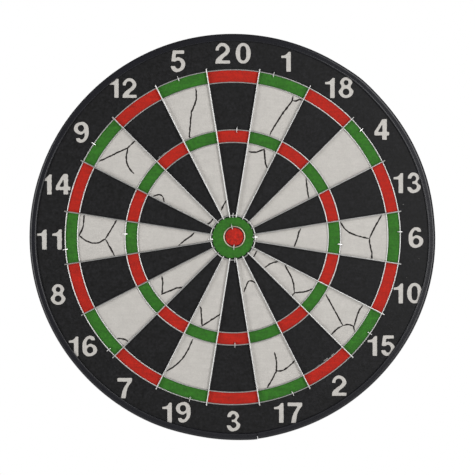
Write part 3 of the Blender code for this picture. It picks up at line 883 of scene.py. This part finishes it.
# Where the strip stands off the disc or is pressed to it: (angle, lift in mm, spread in degrees).
STRIP_WAVES = ((39, 0.8, 5), (84, -0.5, 8), (192, -0.6, 8), (300, 0.1, 12))


def strip_outline():
    """The U section, as (radius, y): a flat lip with a raised bead along its inner edge."""
    lip = STRIP_OUTER - STRIP_LIP_WIDTH
    wall = STRIP_OUTER - STRIP_WALL
    bead_end = math.radians(STRIP_BEAD_SWEEP - 90)
    bead = (lip + STRIP_BEAD, STRIP_FRONT + STRIP_BEAD * math.cos(bead_end))
    bead_arc = arc(bead, STRIP_BEAD, 180, STRIP_BEAD_SWEEP, 12)
    front_corner = (STRIP_OUTER - STRIP_FRONT_CORNER, STRIP_FRONT + STRIP_FRONT_CORNER)
    back_corner = (STRIP_OUTER - STRIP_CORNER, -STRIP_CORNER)
    back_edge = (lip + STRIP_EDGE, -STRIP_EDGE)
    return [
        (lip, STRIP_FRONT + STRIP_LIP),
        *bead_arc,
        (bead_arc[-1][0] + STRIP_MARGIN, STRIP_FRONT),
        (front_corner[0] - STRIP_MARGIN, STRIP_FRONT),
        *arc(front_corner, STRIP_FRONT_CORNER, 270, 90, 10),
        *arc(back_corner, STRIP_CORNER, 0, 90, 10),
        *arc(back_edge, STRIP_EDGE, 90, 90, 4),
        (lip, -STRIP_LIP),
        (wall, -STRIP_LIP),
        (wall, STRIP_FRONT + STRIP_LIP),
    ]


def strip_lift(angle):
    """How far the strip stands off the disc. Angles run from just past the seam to just before it."""
    past_seam, before_seam = angle - SEAM_ANGLE, SEAM_ANGLE + 360 - angle
    side = "left" if past_seam < before_seam else "right"
    lift = STRIP_SLACK + SEAM_LIFT[side] / (1 + (min(past_seam, before_seam) / SEAM_SPREAD) ** 2)
    for middle, height, spread in STRIP_WAVES:
        away = (angle - middle + 180) % 360 - 180
        lift += height * MM * math.exp(-((away / spread) ** 2))
    return lift


def build_edge_strip():
    half_gap = math.degrees(SEAM_GAP / 2 / STRIP_OUTER)
    sweep = 360 - 2 * half_gap
    angles = [SEAM_ANGLE + half_gap + sweep * i / STRIP_STEPS for i in range(STRIP_STEPS + 1)]

    def place(radius, y, angle):
        return on_board(radius + strip_lift(angle), angle, y)

    mesh = loft_round("edge_strip_moulding", strip_outline(), angles, place)
    piece("edge_strip_moulding", mesh, PLASTIC, ("edge_strip",))


# ---------------------------------------------------------------- the back and the hanger


def finish_node(node, material):
    """Gives a CAD node its material, and returns it."""
    obj = frame["nodes"][node]
    obj.data.materials.clear()
    obj.data.materials.append(material)
    return obj


def build_back():
    finish_node("wound_paper_core", wound_paper())
    finish_node("backing_card", CARD)
    finish_node("bullseye_plug", RED)


HINGE = Vector(frame["joints"][0]["pos_m"])
HANGER_WIRE = 1.25 * MM
HANGER_HALF_WIDTH = 9.5 * MM
HANGER_CORNER = 2.5 * MM
HANGER_DEPTH = 17.0 * MM
SCREW_HEAD = 2.8 * MM
SCREW_HEAD_HEIGHT = 1.6 * MM
SCREW_HEAD_SIDE = 0.5 * MM
SCREW_HEAD_EDGE = 0.12 * MM
SCREW_DOME_STEPS = 10
SCREW_CREST = 1.5 * MM
SCREW_ROOT = 1.05 * MM
SCREW_PITCH = 1.3 * MM
SCREW_FLANK = 0.35  # of the pitch, from the thread's crest down to its root
SCREW_LENGTH = 12.0 * MM
SCREW_POINT = 3.0 * MM
SCREW_POINT_SIZE = 0.08  # of the thread's radius, at the very point
SCREW_PLAIN = 1.0 * MM
SCREW_STEPS = 72
SCREW_SIDES = 40
RECESS_ARM = 1.5 * MM
RECESS_HALF_WIDTH = 0.33 * MM
RECESS_DEPTH = 1.0 * MM
RECESS_TAPER = 0.6
RECESS_OVERSHOOT = 0.5 * MM


def hanger_ring_path():
    """The D's centre line round the hinge, hanging down."""
    bar = HANGER_HALF_WIDTH - HANGER_CORNER
    drop = HANGER_DEPTH - HANGER_HALF_WIDTH
    line = arc((bar, -HANGER_CORNER), HANGER_CORNER, 90, -90, 10)
    line += arc((0, -drop), HANGER_HALF_WIDTH, 0, -180, 40)
    line += arc((-bar, -HANGER_CORNER), HANGER_CORNER, 180, -90, 10)
    return [HINGE + Vector((x, 0, z)) for x, z in line]


def thread_radius(y, turn):
    """The screw's radius at a depth below its head and at a part of a turn."""
    place = (-y / SCREW_PITCH - turn) % 1.0
    crest = max(0, 1 - abs(place - 0.5) / SCREW_FLANK)
    deep = min(1, max(0, (-y - SCREW_PLAIN) / SCREW_PITCH))
    radius = SCREW_CREST + (SCREW_ROOT - SCREW_CREST) * deep * (1 - crest)
    return radius * min(1, SCREW_POINT_SIZE + (SCREW_LENGTH + y) / SCREW_POINT)


def screw_shape():
    """A pan-head wood screw along Y, its head's underside at y = 0 and its point inwards."""
    shape = bmesh.new()
    dome = SCREW_HEAD_HEIGHT - SCREW_HEAD_SIDE
    tilts = [math.radians(90 * k / SCREW_DOME_STEPS) for k in range(1, SCREW_DOME_STEPS + 1)]
    profile = [(SCREW_HEAD * math.sin(t), SCREW_HEAD_SIDE + dome * math.cos(t)) for t in tilts]
    profile += [(SCREW_HEAD, SCREW_HEAD_EDGE), (SCREW_HEAD - SCREW_HEAD_EDGE, 0), (SCREW_CREST, 0)]
    rings = [[(radius, y)] * SCREW_SIDES for radius, y in profile]
    for k in range(1, SCREW_STEPS + 1):
        y = -SCREW_LENGTH * k / SCREW_STEPS
        rings.append([(thread_radius(y, side / SCREW_SIDES), y) for side in range(SCREW_SIDES)])
    turns = [math.tau * side / SCREW_SIDES for side in range(SCREW_SIDES)]
    loops = []
    for ring in rings:
        points = [(r * math.sin(t), y, r * math.cos(t)) for (r, y), t in zip(ring, turns)]
        loops.append([shape.verts.new(point) for point in points])
    top = shape.verts.new((0, SCREW_HEAD_HEIGHT, 0))
    for i in range(SCREW_SIDES):
        shape.faces.new((top, loops[0][i - 1], loops[0][i]))
    shape.faces.new(loops[-1])
    skin(shape, loops)
    return mesh_from("screw", shape)


def recess_shape():
    """The cross-shaped, tapering cutter for the screw's driver recess."""
    arm, half = RECESS_ARM, RECESS_HALF_WIDTH
    outline = []
    for quarter in range(4):
        turn = Matrix.Rotation(quarter * math.pi / 2, 2)
        outline += [turn @ Vector(corner) for corner in ((arm, -half), (arm, half), (half, half))]
    shape = bmesh.new()
    levels = (
        (SCREW_HEAD_HEIGHT - RECESS_DEPTH, RECESS_TAPER),
        (SCREW_HEAD_HEIGHT, 1.0),
        (SCREW_HEAD_HEIGHT + RECESS_OVERSHOOT, 1.0),
    )
    loops = [[shape.verts.new((p.x * size, y, p.y * size)) for p in outline] for y, size in levels]
    close_ends(shape, loops)
    skin(shape, loops)
    return mesh_from("recess", shape)


def carved(mesh, cutter):
    """The mesh with the cutter taken out of it."""
    body, tool = bpy.data.objects.new("body", mesh), bpy.data.objects.new("tool", cutter)
    for obj in (body, tool):
        bpy.context.scene.collection.objects.link(obj)
    cut = body.modifiers.new("cut", "BOOLEAN")
    cut.object = tool
    cut.solver = "EXACT"
    made = bpy.data.meshes.new_from_object(body.evaluated_get(bpy.context.evaluated_depsgraph_get()))
    for obj in (body, tool):
        bpy.data.objects.remove(obj)
    made.shade_smooth()
    made.set_sharp_from_angle(angle=SMOOTH_ANGLE)
    return made


STRAP_WORN_EDGE = 0.12 * MM
SCREW_TURNS = {"upper": 25, "lower": -12}  # where each screw's cross stopped, in degrees


def build_hanger():
    strap = finish_node("hanger_strap", ZINC)
    bevel = strap.modifiers.new("worn_edges", "BEVEL")
    bevel.width = STRAP_WORN_EDGE
    bevel.segments = 2
    bevel.limit_method = "ANGLE"
    ring = tube("hanger_ring_wire", hanger_ring_path(), round_wire(HANGER_WIRE, 20), closed=True)
    piece("hanger_ring_wire", ring, ZINC, ("hanger_ring",), body="hanger_ring")
    for where, turn in SCREW_TURNS.items():
        node = f"hanger_screw_{where}"
        low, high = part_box(node)
        seat = Vector((0, high.y - SCREW_HEAD_HEIGHT, (low.z + high.z) / 2))
        matrix = Matrix.Translation(seat) @ Matrix.Rotation(math.radians(turn), 4, "Y")
        screw = carved(screw_shape(), recess_shape())
        screw.name = f"{node}_threaded"
        piece(f"{node}_threaded", screw, ZINC, (node,), matrix=matrix)


# ---------------------------------------------------------------- studio


CAMERA_DISTANCE = 1.7
CAMERA_LENS = 126.9
CAMERA_AZIMUTH = -1.0
CAMERA_ELEVATION = 2.0
CAMERA_AIM = Vector((4.55 * MM, FACE, 0.15 * MM))
WORLD_FILL = 0.25
# Each softbox's azimuth and elevation, distance, width and height, and brightness.
SOFTBOXES = {
    "softbox_left": (-50, -4, 1.9, 0.9, 1.6, 4.0),
    "softbox_right": (34, 12, 1.25, 0.55, 1.35, 3.9),
    "softbox_behind_left": (-145, 25, 2.2, 1.2, 1.2, 4.0),
    "softbox_behind_right": (150, 10, 2.2, 1.0, 1.4, 3.0),
}
FLOOR_RADIUS = 1.2
FLOOR_CENTRE = (0, -0.2, -0.45)


def aim(obj, target):
    obj.rotation_euler = (target - obj.location).to_track_quat("-Z", "Y").to_euler()


def around(azimuth, elevation, distance):
    """A point in front of the board: azimuth to the right of -Y, elevation up."""
    a, e = math.radians(azimuth), math.radians(elevation)
    return Vector((math.sin(a) * math.cos(e), -math.cos(a) * math.cos(e), math.sin(e))) * distance


def add_camera():
    data = bpy.data.cameras.new("camera")
    data.lens = CAMERA_LENS
    camera = bpy.data.objects.new("camera", data)
    bpy.context.scene.collection.objects.link(camera)
    camera.location = CAMERA_AIM + around(CAMERA_AZIMUTH, CAMERA_ELEVATION, CAMERA_DISTANCE)
    aim(camera, CAMERA_AIM)
    bpy.context.scene.camera = camera


def add_softbox(name, azimuth, elevation, distance, width, height, radiance):
    """A rectangular soft light with the given brightness, aimed at the board's centre."""
    data = bpy.data.lights.new(name, "AREA")
    data.shape = "RECTANGLE"
    data.size = width
    data.size_y = height
    data.energy = radiance * math.pi * width * height
    light = bpy.data.objects.new(name, data)
    light.visible_camera = False
    bpy.context.scene.collection.objects.link(light)
    light.location = around(azimuth, elevation, distance)
    aim(light, Vector())


def add_world(fill):
    """Dim even fill, seen by the camera as plain white."""
    world = bpy.data.worlds.new("studio")
    world.use_nodes = True
    bpy.context.scene.world = world
    tree = world.node_tree
    dim = tree.nodes["Background"]
    dim.inputs["Color"].default_value = (1, 1, 1, 1)
    dim.inputs["Strength"].default_value = fill
    white = tree.nodes.new("ShaderNodeBackground")
    white.inputs["Color"].default_value = (1, 1, 1, 1)
    path = tree.nodes.new("ShaderNodeLightPath")
    mix = tree.nodes.new("ShaderNodeMixShader")
    tree.links.new(path.outputs["Is Camera Ray"], mix.inputs["Fac"])
    tree.links.new(dim.outputs[0], mix.inputs[1])
    tree.links.new(white.outputs[0], mix.inputs[2])
    tree.links.new(mix.outputs[0], tree.nodes["World Output"].inputs["Surface"])


def add_floor():
    made = Nodes("pale_floor", (0.8, 0.8, 0.79), 0.8)
    made.tint([(made.noise(60 * MM, 3), 0.01)])
    shape = bmesh.new()
    bmesh.ops.create_circle(shape, cap_ends=True, radius=FLOOR_RADIUS, segments=96)
    mesh = mesh_from("floor", shape)
    mesh.materials.append(made.material)
    floor = bpy.data.objects.new("floor", mesh)
    floor.location = FLOOR_CENTRE
    bpy.context.scene.collection.objects.link(floor)


def build_studio():
    add_camera()
    add_floor()
    add_world(WORLD_FILL)
    for name, values in SOFTBOXES.items():
        add_softbox(name, *values)
    bpy.context.scene.view_settings.view_transform = "Standard"


build_studio()
build_face()
build_cracks()
build_stray_ivory()
build_numbers()
build_ring_wires()
build_divider_wires()
build_staples()
build_edge_strip()
build_back()
build_hanger()
